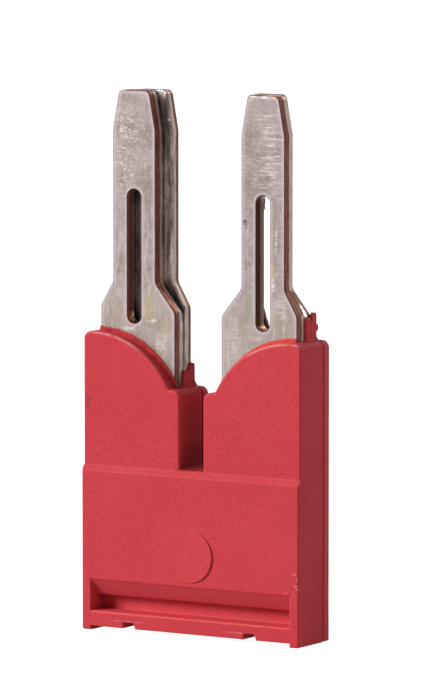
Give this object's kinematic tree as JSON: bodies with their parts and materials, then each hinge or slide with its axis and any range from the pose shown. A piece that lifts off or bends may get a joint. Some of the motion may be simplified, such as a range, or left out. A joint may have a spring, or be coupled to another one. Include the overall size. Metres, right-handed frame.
{
  "type": "jumper bar",
  "caption": "Plug-in jumper bar for rail-mounted terminal blocks: slotted, folded contact blades of tinned sheet stand out of a moulded grip with a lever groove and rounded shoulders.",
  "frame": {"origin": "middle of the bounding box's footprint, on the plane of the two feet at the end of the grip", "axes": "+X across the bar from the left prong to the right one, +Y from the front face with the lever groove to the flat back, +Z along the prongs to their tips"},
  "size_m": [0.011, 0.0028, 0.0237],
  "materials": {
    "tinned_copper": "dull tin plating on stamped copper alloy",
    "red_plastic": "moulded, slightly satin"
  },
  "bodies": {
    "root": {"contact_comb": "tinned_copper", "housing": "red_plastic"}
  },
  "joints": []
}
